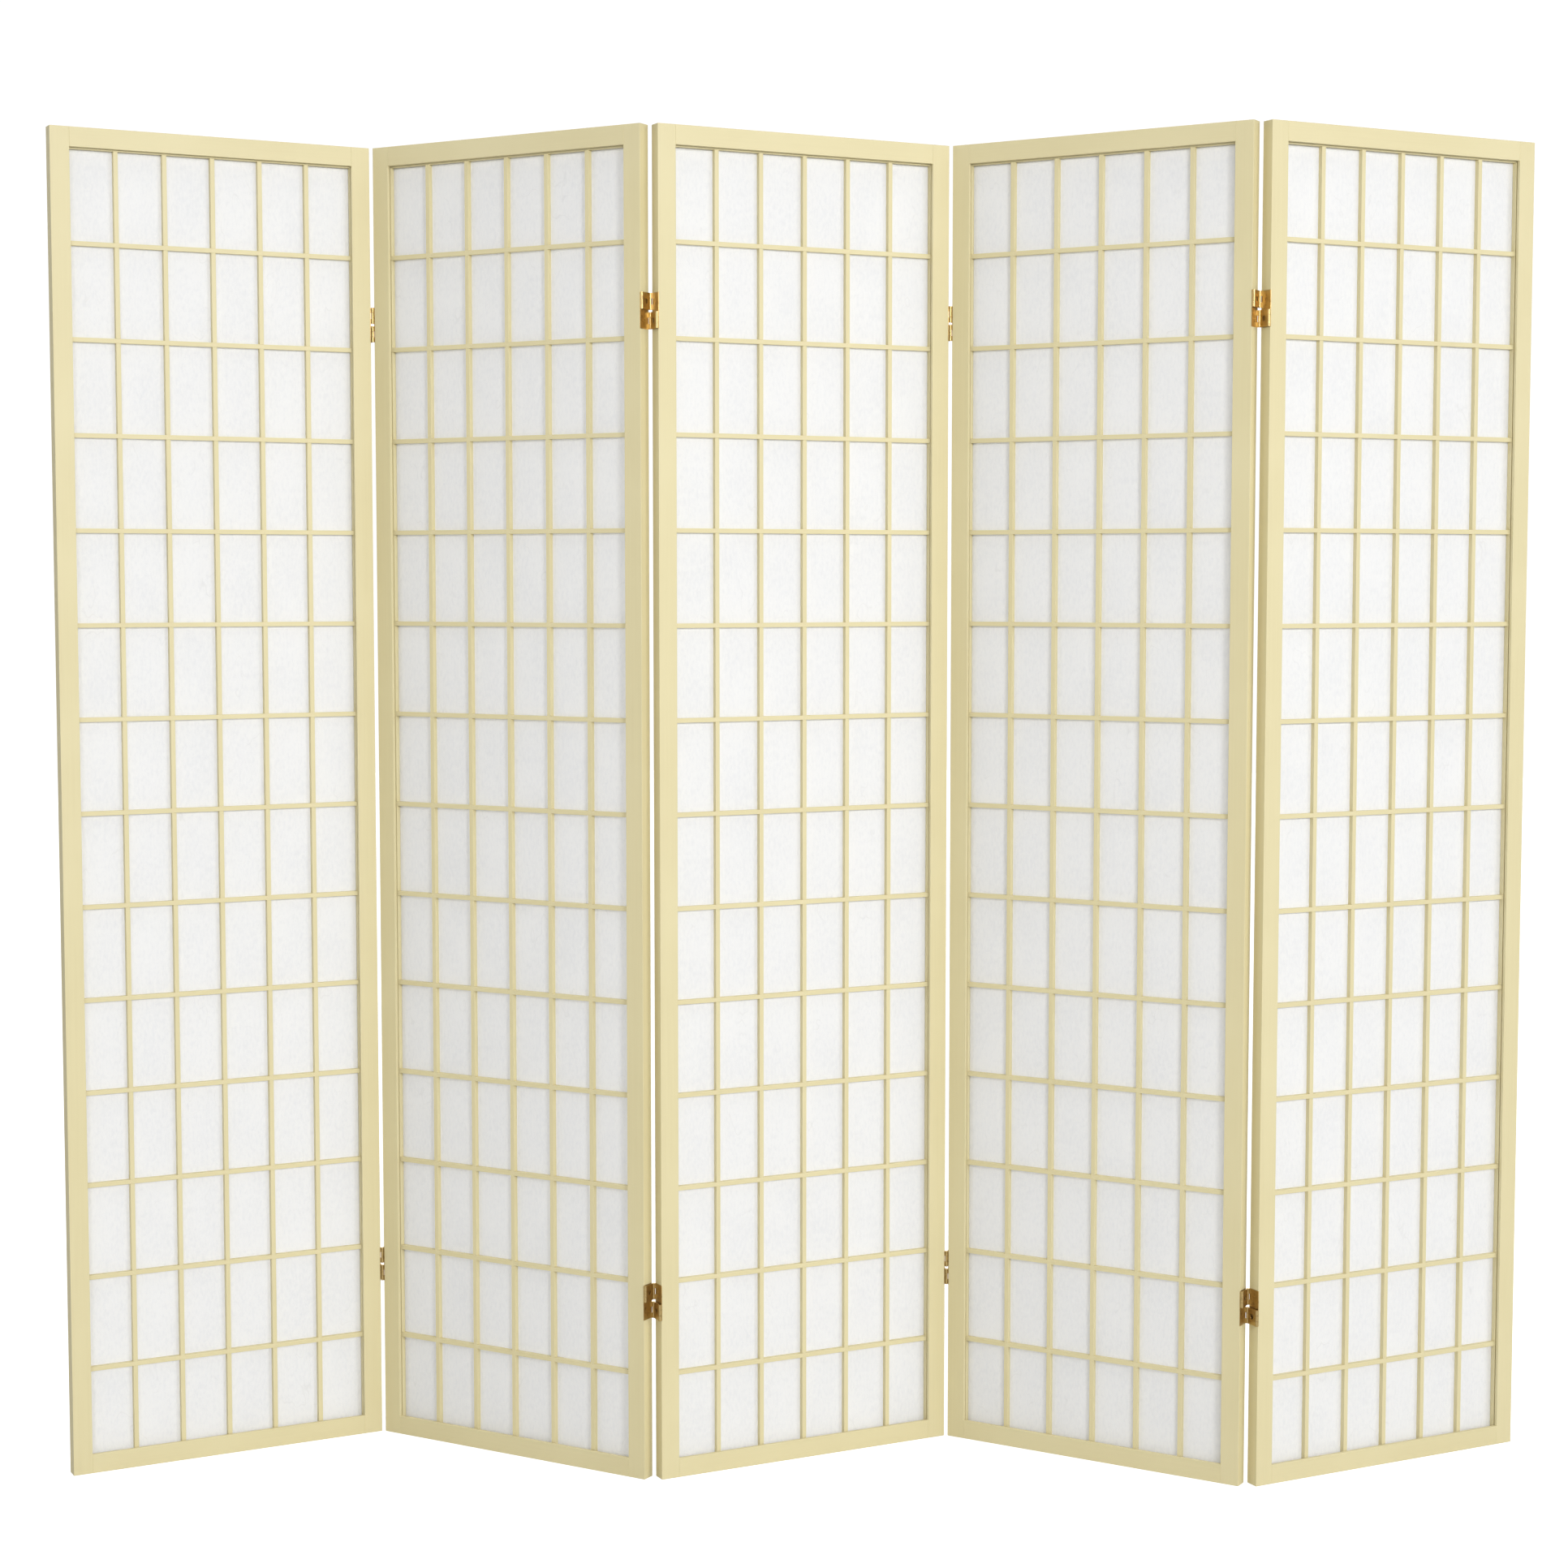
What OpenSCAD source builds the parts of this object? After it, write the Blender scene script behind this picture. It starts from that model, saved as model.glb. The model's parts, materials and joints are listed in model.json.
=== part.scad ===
// Folding shoji screen: painted wooden frames with a half-lapped lattice over paper, joined in a
// zigzag by two-way hinges that let every hinge line fold either way.
// Millimetres. +Z is up, the lattice faces -Y, and the origin is the middle of the footprint.
//
// Each panel is drawn in its own frame: X along the panel from its left end, Y from its front face
// to its back face, Z up. The panels are then placed one after the other around their hinge axes.

/* [Screen] */
// Number of panels
panels = 5; // [2:1:5]
// Width of one panel
panel_w = 434; // [300:1:600]
// Height of one panel
panel_h = 1784; // [1200:1:2200]
// Thickness of one panel
panel_t = 19.5; // [19:0.5:30]
// Turn of the first panel about Z, as the screen stands
first_yaw = 29.4; // [0:0.1:45]
// Fold of each hinge line as the screen stands, where 0 is in line
folds = [57.8, 57, 58, 58]; // [0:0.1:120]

/* [Frame] */
// Width of a stile seen from the front
stile_w = 25.4; // [20:0.1:50]
// Height of a rail seen from the front
rail_h = 25.6; // [22:0.1:50]
// Thickness of the lip in front of the lattice
lip_t = 4.7; // [3:0.1:6]
// Height of the bottom rail behind its lip, where the lattice stands
bottom_core_h = 12.6; // [8:0.1:20]
// Height of the top rail behind its lip
top_core_h = 20.6; // [8:0.1:21]
// Length of the stub tenon on each end of a rail
tenon_l = 10; // [5:0.5:12]
// Thickness of the stub tenon
tenon_t = 6.5; // [4:0.5:8]
// Wood left above and below the stub tenon
tenon_shoulder = 3; // [1:0.5:3.5]

/* [Lattice] */
// Columns of panes
columns = 6; // [2:1:10]
// Rows of panes
rows = 14; // [4:1:20]
// Width of a bar seen from the front
bar_w = 5.9; // [4:0.1:10]
// Depth of a bar, front to back
bar_t = 7.1; // [5:0.1:8]
// Dark gap between the lip and the lattice
shadow_gap = 2.2; // [0.5:0.1:3]

/* [Back] */
// Thickness of the paper
paper_t = 0.3; // [0.2:0.1:0.6]
// Width of the beads that hold the paper
bead_w = 7; // [4:0.5:10]
// Depth of the beads below the back face
bead_recess = 0.4; // [0:0.1:1.5]

/* [Hinges] */
// Height of a hinge
hinge_h = 47; // [40:1:70]
// Hinge centre above the floor, and below the top for the upper one
hinge_inset = 239; // [80:1:400]
// Gap between the end faces of two panels in line
end_gap = 5; // [4.6:0.1:8]
// Hinge axes in front of, or behind, the panel's faces
axis_proud = 0.4; // [0.2:0.1:1]
// Gap between the upper and the lower link plate
link_split = 3; // [1:0.5:6]
// Outer diameter of the knuckles
knuckle_d = 4; // [3:0.1:4.2]
// Diameter of the pins
pin_d = 1.8; // [1.2:0.1:2]
// Thickness of the leaf plates, let into the stile
leaf_t = 0.9; // [0.6:0.1:1.5]
// Thickness of the link plates
link_t = 1; // [0.6:0.1:1.5]
// Distance between the two screws of a leaf
screw_pitch = 25; // [20:0.5:30]
// Diameter of a screw's head
screw_head_d = 4.8; // [4:0.1:6]
// Diameter of a screw's shank
screw_d = 2.4; // [1.5:0.1:3]
// Length of a screw
screw_l = 12; // [8:0.5:14]
// Width of the cross recess in a screw's head
cross_w = 0.6; // [0.4:0.1:1]
// Length of the cross recess, end to end
cross_l = 3.4; // [2:0.1:3.8]
// Hole in a link plate that lets the screwdriver through
access_d = 6.4; // [6.2:0.1:8]

/* [Fits] */
// Clearance of glued wood joints and of the lattice in its rebate
wood_fit = 0.1; // [0.05:0.05:0.3]
// Room above the lattice, so that it can be lifted in
lift_room = 1; // [0.3:0.1:3]
// Radial clearance of pins and screws
round_fit = 0.05; // [0.02:0.01:0.1]
// Gap between neighbouring knuckles, and around them
knuckle_gap = 0.35; // [0.2:0.05:0.6]

/* [Hidden] */
PAINT = "#EADFB2";
PAPER_WHITE = "#F5F5F0";
BRASS = "#C08A3E";
$fn = 48;
BEYOND = 1;                          // how far a cut runs past the face it opens

PARTS = ["left_stile", "right_stile", "top_rail", "bottom_rail", "upright_bars", "cross_bars",
         "paper", "back_beads", "hinge_leaves", "hinge_links", "hinge_pins", "hinge_screws"];

// Rebate behind the lip, and the lattice in it
rebate_w = bar_w + wood_fit;
core_w = stile_w - rebate_w;
lattice_y = lip_t + shadow_gap;
paper_y = lattice_y + bar_t;
bead_y = paper_y + paper_t;
bead_t = panel_t - bead_recess - bead_y;
lattice_x = core_w + wood_fit;
lattice_z = bottom_core_h;
lattice_w = panel_w - 2 * lattice_x;
lattice_h = panel_h - bottom_core_h - top_core_h - lift_room;
upright_pitch = (lattice_w - bar_w) / columns;
cross_pitch = (lattice_h - bar_w) / rows;
lap_t = bar_t / 2;

// Rails between the stiles
rail_l = panel_w - 2 * stile_w;
rail_core_l = panel_w - 2 * core_w;
tenon_y = (lip_t + panel_t - tenon_t) / 2;

// Hinges
knuckle_r = knuckle_d / 2;
axis_x = end_gap / 2;
front_axis_y = -axis_proud;
back_axis_y = panel_t + axis_proud;
link_h = (hinge_h - link_split) / 2;
link_rise = (hinge_h - link_h) / 2;
knuckle_pitch = link_h / 3;
knuckle_h = knuckle_pitch - knuckle_gap;
plate_y = knuckle_r + knuckle_gap - axis_proud;
hinge_heights = [hinge_inset, panel_h - hinge_inset];

function part_name(k, part) = str("panel_", k, "_", part);

// Whether panel k has a neighbour on its left or its right, and which way that hinge line folds
function hinged_left(k) = k > 1;
function hinged_right(k) = k < panels;
function folds_to_front(line) = line % 2 == 1;

// Where the panels stand: each front left corner follows from the axis it shares with the last one
function turn(v, a) = [v.x * cos(a) - v.y * sin(a), v.x * sin(a) + v.y * cos(a)];
function axis_y(line) = folds_to_front(line) ? front_axis_y : back_axis_y;
function yaw(k) = k == 1 ? first_yaw
    : yaw(k - 1) + (folds_to_front(k - 1) ? -1 : 1) * folds[k - 2];
function corner(k) = k == 1 ? [0, 0]
    : corner(k - 1) + turn([panel_w + axis_x, axis_y(k - 1)], yaw(k - 1))
      - turn([-axis_x, axis_y(k - 1)], yaw(k));

// Outermost points of the footprint: panel corners, and the knuckles beside them
function panel_corners(k) =
    [for (x = [0, panel_w]) for (y = [0, panel_t]) corner(k) + turn([x, y], yaw(k))];
function knuckle_centres(k) =
    [for (y = [front_axis_y, back_axis_y])
        for (x = concat(hinged_left(k) ? [-axis_x] : [], hinged_right(k) ? [panel_w + axis_x] : []))
            corner(k) + turn([x, y], yaw(k))];
function reach(points, side) = [for (p = points) for (r = [-side, side]) p + [r, r]];
footprint = [for (k = [1:panels])
    each concat(reach(panel_corners(k), 0), reach(knuckle_centres(k), knuckle_r))];
footprint_x = [for (p = footprint) p.x];
footprint_y = [for (p = footprint) p.y];
middle = [min(footprint_x) + max(footprint_x), min(footprint_y) + max(footprint_y)] / 2;

// Places what is drawn in the frame of panel k
module on_panel(k) {
    translate(concat(corner(k) - middle, 0)) rotate(yaw(k)) children();
}

// Places what is drawn for a right-hand end, with X = 0 on the end face, at each hinge of that end
module on_right_end() {
    for (z = hinge_heights) translate([panel_w, 0, z]) children();
}

// The same for a left-hand end: the two halves of a hinge are one shape turned half round
module on_left_end() {
    for (z = hinge_heights) translate([0, panel_t, z]) rotate(180) children();
}

// Places children at both ends of panel k that carry hinges
module on_hinged_ends(k) {
    if (hinged_right(k)) on_right_end() children();
    if (hinged_left(k)) on_left_end() children();
}

// ---- Frame ----

// What a leaf and its screws take out of the end of a stile
module leaf_recess() {
    translate([-leaf_t, -BEYOND, -hinge_h / 2])
        cube([leaf_t + BEYOND, panel_t + 2 * BEYOND, hinge_h]);
    at_screws() cylinder(r = screw_d / 2 + round_fit, h = screw_l + BEYOND);
}

// Stile of the left end, rebated behind its lip and mortised for both rails
module stile() {
    difference() {
        linear_extrude(panel_h)
            polygon([[0, 0], [stile_w, 0], [stile_w, lip_t], [core_w, lip_t],
                     [core_w, panel_t], [0, panel_t]]);
        tenon(core_w, 1, bottom_core_h, 0, wood_fit);
        tenon(core_w, 1, top_core_h, panel_h - top_core_h, wood_fit);
    }
}

module left_stile(k) {
    color(PAINT) difference() {
        stile();
        if (hinged_left(k)) on_left_end() leaf_recess();
    }
}

module right_stile(k) {
    color(PAINT) difference() {
        translate([panel_w, 0, 0]) mirror([1, 0, 0]) stile();
        if (hinged_right(k)) on_right_end() leaf_recess();
    }
}

// Stub tenon that runs into a stile from x; clearance makes it the mortise
module tenon(x, into, core_h, core_z, clearance) {
    long = tenon_l + clearance;
    translate([x - (into > 0 ? long : 0), tenon_y - clearance, core_z + tenon_shoulder - clearance])
        cube([long, tenon_t + 2 * clearance, core_h - 2 * tenon_shoulder + 2 * clearance]);
}

// Rail with its lip between the stiles, its core between the rebates and a tenon on each end
module rail(core_h, core_z, lip_z) {
    color(PAINT) union() {
        translate([stile_w, 0, lip_z]) cube([rail_l, lip_t, rail_h]);
        translate([core_w, lip_t, core_z]) cube([rail_core_l, panel_t - lip_t, core_h]);
        tenon(core_w, 1, core_h, core_z, 0);
        tenon(panel_w - core_w, -1, core_h, core_z, 0);
    }
}

module top_rail() rail(top_core_h, panel_h - top_core_h, panel_h - rail_h);

module bottom_rail() rail(bottom_core_h, 0, 0);

// ---- Lattice ----

// Side view of a bar of length l, notched half through at every crossing and open at both ends
module notched_bar(l, pitch, crossings) {
    notches = [for (i = [0:crossings])
        let (a = i * pitch - wood_fit / 2, b = a + bar_w + wood_fit)
        each concat(i > 0 ? [[a, 0], [a, lap_t]] : [[0, lap_t]],
                    i < crossings ? [[b, lap_t], [b, 0]] : [[l, lap_t]])];
    polygon(concat(notches, [[l, bar_t], [0, bar_t]]));
}

// Upright bars, with their notches to the front; the outer two are the lattice's rim
module upright_bars() {
    color(PAINT) for (i = [0:columns])
        translate([lattice_x + i * upright_pitch, lattice_y, lattice_z])
            rotate([0, -90, 0]) mirror([0, 0, 1]) linear_extrude(bar_w)
                notched_bar(lattice_h, cross_pitch, rows);
}

// Cross bars, with their notches to the back; the outer two are the lattice's rim
module cross_bars() {
    color(PAINT) for (i = [0:rows])
        translate([lattice_x, paper_y, lattice_z + i * cross_pitch])
            mirror([0, 1, 0]) linear_extrude(bar_w)
                notched_bar(lattice_w, upright_pitch, columns);
}

// ---- Paper and beads ----

module paper() {
    color(PAPER_WHITE) translate([lattice_x, paper_y, lattice_z])
        cube([lattice_w, paper_t, lattice_h]);
}

// Four beads around the back of the paper, the upright ones running through
module back_beads() {
    color(PAINT) translate([lattice_x, bead_y, lattice_z]) {
        for (x = [0, lattice_w - bead_w]) translate([x, 0, 0]) cube([bead_w, bead_t, lattice_h]);
        for (z = [0, lattice_h - bead_w])
            translate([bead_w + wood_fit, 0, z])
                cube([lattice_w - 2 * (bead_w + wood_fit), bead_t, bead_w]);
    }
}

// ---- Hinges ----
// Drawn for a right-hand end: X = 0 on the end face, Y = 0 on the front face, Z = 0 at the middle.
// This end's leaf holds the front knuckles of the upper half and the back knuckles of the lower half.

// Places children, with Z along the screw into the wood, at both screws of a leaf
module at_screws() {
    for (z = [-1, 1] * screw_pitch / 2)
        translate([0, panel_t / 2, z]) rotate([0, -90, 0]) children();
}

// One knuckle on the given axis with the strap that ties it to a plate, bored for the pin
module knuckle(y, z, strap) {
    translate([axis_x, y, z - knuckle_h / 2]) difference() {
        union() {
            cylinder(r = knuckle_r, h = knuckle_h);
            linear_extrude(knuckle_h) polygon(strap);
        }
        translate([0, 0, -BEYOND]) cylinder(r = pin_d / 2 + round_fit, h = knuckle_h + 2 * BEYOND);
    }
}

// Strap of a leaf's knuckle: a plate's thickness, on the side of the axis that faces the wood
function leaf_strap(side) =
    let (outer = side * knuckle_r, inner = side * (knuckle_r - leaf_t))
    [[0, inner], [0, outer], [-axis_x - leaf_t, outer], [-axis_x - leaf_t, inner]];

// Strap of a link's knuckle: it runs along the link, from the axis to the plate
function link_strap(side) =
    let (far = side * (knuckle_r + 2 * knuckle_gap), half = link_t / 2)
    [[-half, 0], [half, 0], [half, far], [-half, far]];

module leaf() {
    difference() {
        union() {
            translate([-leaf_t, 0, -hinge_h / 2]) cube([leaf_t, panel_t, hinge_h]);
            for (half = [-1, 1]) for (i = [-1, 1])
                knuckle(half > 0 ? front_axis_y : back_axis_y,
                        half * link_rise + i * knuckle_pitch, leaf_strap(half));
        }
        at_screws() screw_head(round_fit);
    }
}

// The link plate of one half, with a knuckle on the front axis and one on the back axis
module link(half) {
    translate([0, 0, half * link_rise]) {
        difference() {
            translate([axis_x - link_t / 2, plate_y, -link_h / 2])
                cube([link_t, panel_t - 2 * plate_y, link_h]);
            translate([axis_x, panel_t / 2, half * (screw_pitch / 2 - link_rise)])
                rotate([0, 90, 0]) cylinder(d = access_d, h = link_t + BEYOND, center = true);
        }
        knuckle(front_axis_y, 0, link_strap(1));
        knuckle(back_axis_y, 0, link_strap(-1));
    }
}

// The pins that stay in this end's leaf, as long as the link plates
module pins() {
    for (half = [-1, 1])
        translate([axis_x, half > 0 ? front_axis_y : back_axis_y, half * link_rise - link_h / 2])
            cylinder(d = pin_d, h = link_h);
}

// Head of a countersunk screw, through the leaf's thickness
module screw_head(clearance) {
    cylinder(r1 = screw_head_d / 2 + clearance, r2 = screw_d / 2 + clearance, h = leaf_t);
}

// Countersunk screw with a cross recess
module screw() {
    difference() {
        union() {
            screw_head(0);
            cylinder(d = screw_d, h = screw_l);
        }
        for (a = [0, 90]) rotate(a)
            translate([-cross_l / 2, -cross_w / 2, -BEYOND]) cube([cross_l, cross_w, BEYOND + leaf_t / 2]);
    }
}

module hinge_leaves(k) color(BRASS) on_hinged_ends(k) leaf();

// The links that move with panel k: on an axis at the front, the left panel keeps the lower link
// and the right panel the upper one; on an axis at the back it is the other way round
module hinge_links(k) {
    color(BRASS) {
        if (hinged_right(k)) on_right_end() link(folds_to_front(k) ? -1 : 1);
        if (hinged_left(k)) on_left_end() link(folds_to_front(k - 1) ? 1 : -1);
    }
}

module hinge_pins(k) color(BRASS) on_hinged_ends(k) pins();

module hinge_screws(k) color(BRASS) on_hinged_ends(k) at_screws() screw();

for (k = [1:panels]) on_panel(k) {
    left_stile(k);
    right_stile(k);
    top_rail();
    bottom_rail();
    upright_bars();
    cross_bars();
    paper();
    back_beads();
    hinge_leaves(k);
    hinge_links(k);
    hinge_pins(k);
    hinge_screws(k);
}
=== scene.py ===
"""Looks of a folding shoji screen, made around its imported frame.

The frame gives every place and every overall size. Each panel also has a frame of its own, in which its
pieces are made: X along the panel from its left end, Y from its front face to its back face, and Z up.
"""

import json
import logging
import math
from collections.abc import Iterable, Sequence
from dataclasses import dataclass, field
from enum import Enum

import bmesh
import bpy
import numpy as np
from mathutils import Matrix, Vector

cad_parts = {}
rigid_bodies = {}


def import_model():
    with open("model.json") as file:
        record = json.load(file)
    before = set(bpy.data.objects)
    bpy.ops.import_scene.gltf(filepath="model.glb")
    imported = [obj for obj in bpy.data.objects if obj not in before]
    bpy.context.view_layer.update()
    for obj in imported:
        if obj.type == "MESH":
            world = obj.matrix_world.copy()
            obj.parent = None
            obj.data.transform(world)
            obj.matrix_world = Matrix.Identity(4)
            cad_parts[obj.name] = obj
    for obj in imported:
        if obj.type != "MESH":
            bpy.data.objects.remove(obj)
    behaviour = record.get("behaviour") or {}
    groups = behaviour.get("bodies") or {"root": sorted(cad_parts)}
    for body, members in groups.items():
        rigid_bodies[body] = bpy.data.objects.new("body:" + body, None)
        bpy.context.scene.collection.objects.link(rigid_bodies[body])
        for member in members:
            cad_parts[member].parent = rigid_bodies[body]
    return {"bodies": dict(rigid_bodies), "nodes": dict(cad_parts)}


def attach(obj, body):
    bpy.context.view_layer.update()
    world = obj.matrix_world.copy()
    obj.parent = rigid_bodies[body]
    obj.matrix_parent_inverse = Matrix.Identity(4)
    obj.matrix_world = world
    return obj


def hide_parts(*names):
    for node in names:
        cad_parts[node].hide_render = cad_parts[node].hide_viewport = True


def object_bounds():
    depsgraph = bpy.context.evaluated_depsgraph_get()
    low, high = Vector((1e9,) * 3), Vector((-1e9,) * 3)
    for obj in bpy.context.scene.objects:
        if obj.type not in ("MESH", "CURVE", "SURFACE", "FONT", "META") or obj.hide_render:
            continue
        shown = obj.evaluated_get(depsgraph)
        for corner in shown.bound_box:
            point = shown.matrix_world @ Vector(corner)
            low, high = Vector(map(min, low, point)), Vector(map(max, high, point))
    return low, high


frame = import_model()
cad_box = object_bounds()

LOG = logging.getLogger("screen")
MM = 0.001
GRAIN = "grain"      # vector attribute: a point's place on its own member, X along the wood
ARRIS = "arris"      # face attribute: 1 on an eased edge
Colour = tuple[float, float, float, float]
Span = tuple[float, float]
Layers = tuple[float, float]    # how many finer layers a noise has, and how strong they are
Ring = list[bmesh.types.BMVert]
CONTACT = 0.001 * MM            # points nearer than this are one point
NODE_CONTACT = 0.002 * MM       # the same for the corners of a node's loose triangles
EASED_FROM = math.radians(50)   # a fitting's or a bar's edge is eased if it turns more than this
STROKES = 2                     # flats on an eased edge
BAR_SPREAD = 5.0                # metres of wood among which the bars' patterns are drawn
SHEET_SHIFT = (1.7, 0.9, 0.37)  # metres from one sheet's pattern to the next, and for its cockle
SHEET_CELLS = (8, 12)           # faces of a sheet between two bars, across and up
HELD = 0.6                      # half the strip held flat at a bar, in bar widths


def stood(name: str, data: bpy.types.ID) -> bpy.types.Object:
    """Makes an object and puts it in the scene.

    Args:
        name: Its name.
        data: Its mesh, light or camera.

    Returns:
        The object.
    """
    thing = bpy.data.objects.new(name, data)
    bpy.context.scene.collection.objects.link(thing)
    return thing


class Slot(Enum):
    """The record's material slots."""

    WOOD = "painted_wood"
    PAPER = "shoji_paper"
    BRASS = "brass"


class Run(Enum):
    """Which way the grain of a wooden member runs, as the order of the panel's axes in its grain."""

    UPRIGHT = (2, 0, 1)
    LEVEL = (0, 2, 1)


class End(Enum):
    """An end of a panel, with the half turn that carries a right-hand fitting there."""

    LEFT = math.pi
    RIGHT = 0.0


# ---- Nodes ----


class Wire:
    """A value on its way through a node tree. Numbers can be added, subtracted, multiplied and divided."""

    def __init__(self, bench: "Bench", node: bpy.types.Node, out: int | str) -> None:
        """Holds one output of a node.

        Args:
            bench: The bench of the node's tree.
            node: The node.
            out: The output's name or place.
        """
        self.bench = bench
        self.node = node
        self.socket = node.outputs[out]

    def other(self, out: int | str) -> "Wire":
        """Another output of the same node."""
        return Wire(self.bench, self.node, out)

    def math(self, operation: str, *values: "Wire | float") -> "Wire":
        """A Math node on this number.

        Args:
            operation: The Math node's operation.
            *values: Its other values.

        Returns:
            The result.
        """
        return self.bench.add("ShaderNodeMath", {"operation": operation}, dict(enumerate((self, *values))))

    def flipped(self, operation: str, value: float) -> "Wire":
        """A Math node that has a plain number first and this one second."""
        return self.bench.add("ShaderNodeMath", {"operation": operation}, {0: value, 1: self})

    def __add__(self, value: "Wire | float") -> "Wire":
        """The sum."""
        return self.math("ADD", value)

    __radd__ = __add__

    def __sub__(self, value: "Wire | float") -> "Wire":
        """The difference."""
        return self.math("SUBTRACT", value)

    def __rsub__(self, value: float) -> "Wire":
        """A plain number less this one."""
        return self.flipped("SUBTRACT", value)

    def __mul__(self, value: "Wire | float") -> "Wire":
        """The product."""
        return self.math("MULTIPLY", value)

    __rmul__ = __mul__

    def __truediv__(self, value: "Wire | float") -> "Wire":
        """The quotient."""
        return self.math("DIVIDE", value)

    def __rtruediv__(self, value: float) -> "Wire":
        """A plain number divided by this one."""
        return self.flipped("DIVIDE", value)

    def __abs__(self) -> "Wire":
        """The size without its sign."""
        return self.math("ABSOLUTE")

    def limited(self, low: "Wire | float" = 0.0, high: "Wire | float" = 1.0) -> "Wire":
        """The value kept between two others."""
        return self.math("MAXIMUM", low).math("MINIMUM", high)

    def ramped(self, low: float, high: float) -> "Wire":
        """A smooth step from 0 at low to 1 at high.

        Args:
            low: Where the step starts. It may be the larger of the two.
            high: Where the step ends.

        Returns:
            The step's value.
        """
        settings = {"interpolation_type": "SMOOTHSTEP", "clamp": True}
        sockets = {"Value": self, "From Min": low, "From Max": high}
        return self.bench.add("ShaderNodeMapRange", settings, sockets)


class Bench:
    """Puts nodes into one tree."""

    def __init__(self, tree: bpy.types.NodeTree) -> None:
        """Takes the tree."""
        self.tree = tree

    def add(
        self,
        kind: str,
        settings: dict[str, object] | None = None,
        sockets: dict[int | str, object] | None = None,
        out: int | str = 0,
    ) -> Wire | None:
        """Adds a node.

        Args:
            kind: The node's type.
            settings: Its own settings, set before its sockets.
            sockets: A value or a wire for each input, by the input's name or place.
            out: The output to return.

        Returns:
            That output of the node, or None for a node that has no outputs.
        """
        node = self.tree.nodes.new(kind)
        for name, value in (settings or {}).items():
            setattr(node, name, value)
        for key, value in (sockets or {}).items():
            for one in value if isinstance(value, list) else [value]:
                if isinstance(one, Wire):
                    self.tree.links.new(one.socket, node.inputs[key])
                else:
                    node.inputs[key].default_value = one
        return Wire(self, node, out) if len(node.outputs) else None

    def vector(self, x: object = 0.0, y: object = 0.0, z: object = 0.0) -> Wire:
        """A vector of three numbers."""
        return self.add("ShaderNodeCombineXYZ", None, {0: x, 1: y, 2: z})

    def vectors(self, operation: str, first: object, second: object) -> Wire:
        """A Vector Math node on two vectors."""
        return self.add("ShaderNodeVectorMath", {"operation": operation}, {0: first, 1: second})

    def colours(self, factor: object, first: object, second: object, blend: str = "MIX") -> Wire:
        """A mix of two colours.

        Args:
            factor: The second colour's share.
            first: The first colour.
            second: The second colour.
            blend: The way to mix them.

        Returns:
            The mixed colour.
        """
        settings = {"data_type": "RGBA", "blend_type": blend, "clamp_result": False}
        return self.add("ShaderNodeMix", settings, {0: factor, 6: first, 7: second}, out=2)

    def noise(self, place: Wire, scale: float, detail: float = 2.0, roughness: float = 0.5) -> Wire:
        """A noise texture.

        Args:
            place: The coordinates, in metres.
            scale: Cells in a metre.
            detail: Finer layers added.
            roughness: How strong they are.

        Returns:
            The noise, from 0 to 1.
        """
        sockets = {"Vector": place, "Scale": scale, "Detail": detail, "Roughness": roughness}
        return self.add("ShaderNodeTexNoise", None, sockets)


# ---- Finishes ----


class Surface:
    """A material under way: its bench, its principled shader and its coordinates."""

    def __init__(self, name: str) -> None:
        """Makes an empty material.

        Args:
            name: Its name.
        """
        self.material = bpy.data.materials.new(name)
        self.material.use_nodes = True
        tree = self.material.node_tree
        tree.nodes.clear()
        self.bench = Bench(tree)
        self.grain = self.bench.add("ShaderNodeAttribute", {"attribute_name": GRAIN}, out="Vector")

    def stretched(self, along: float, across: float, through: float) -> Wire:
        """The grain's coordinates, scaled along and across the member."""
        return self.bench.vectors("MULTIPLY", self.grain, (along, across, through))

    def bump(self, height: Wire, depth: float, strength: float, under: Wire | None = None) -> Wire:
        """A bump.

        Args:
            height: The height, from 0 to 1.
            depth: What a height of 1 stands for, in metres.
            strength: How much of it shows.
            under: A bump that this one lies on.

        Returns:
            The normal.
        """
        sockets = {"Height": height, "Distance": depth, "Strength": strength}
        return self.bench.add("ShaderNodeBump", None, sockets | ({"Normal": under} if under else {}))

    def shader(self, **sockets: object) -> Wire:
        """A principled shader, with the spaces of its inputs' names written as underscores."""
        named = {name.replace("_", " "): value for name, value in sockets.items()}
        return self.bench.add("ShaderNodeBsdfPrincipled", None, named)

    def done(self, shader: Wire) -> bpy.types.Material:
        """Ends the material in this shader."""
        self.bench.add("ShaderNodeOutputMaterial", None, {"Surface": shader})
        return self.material


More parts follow.
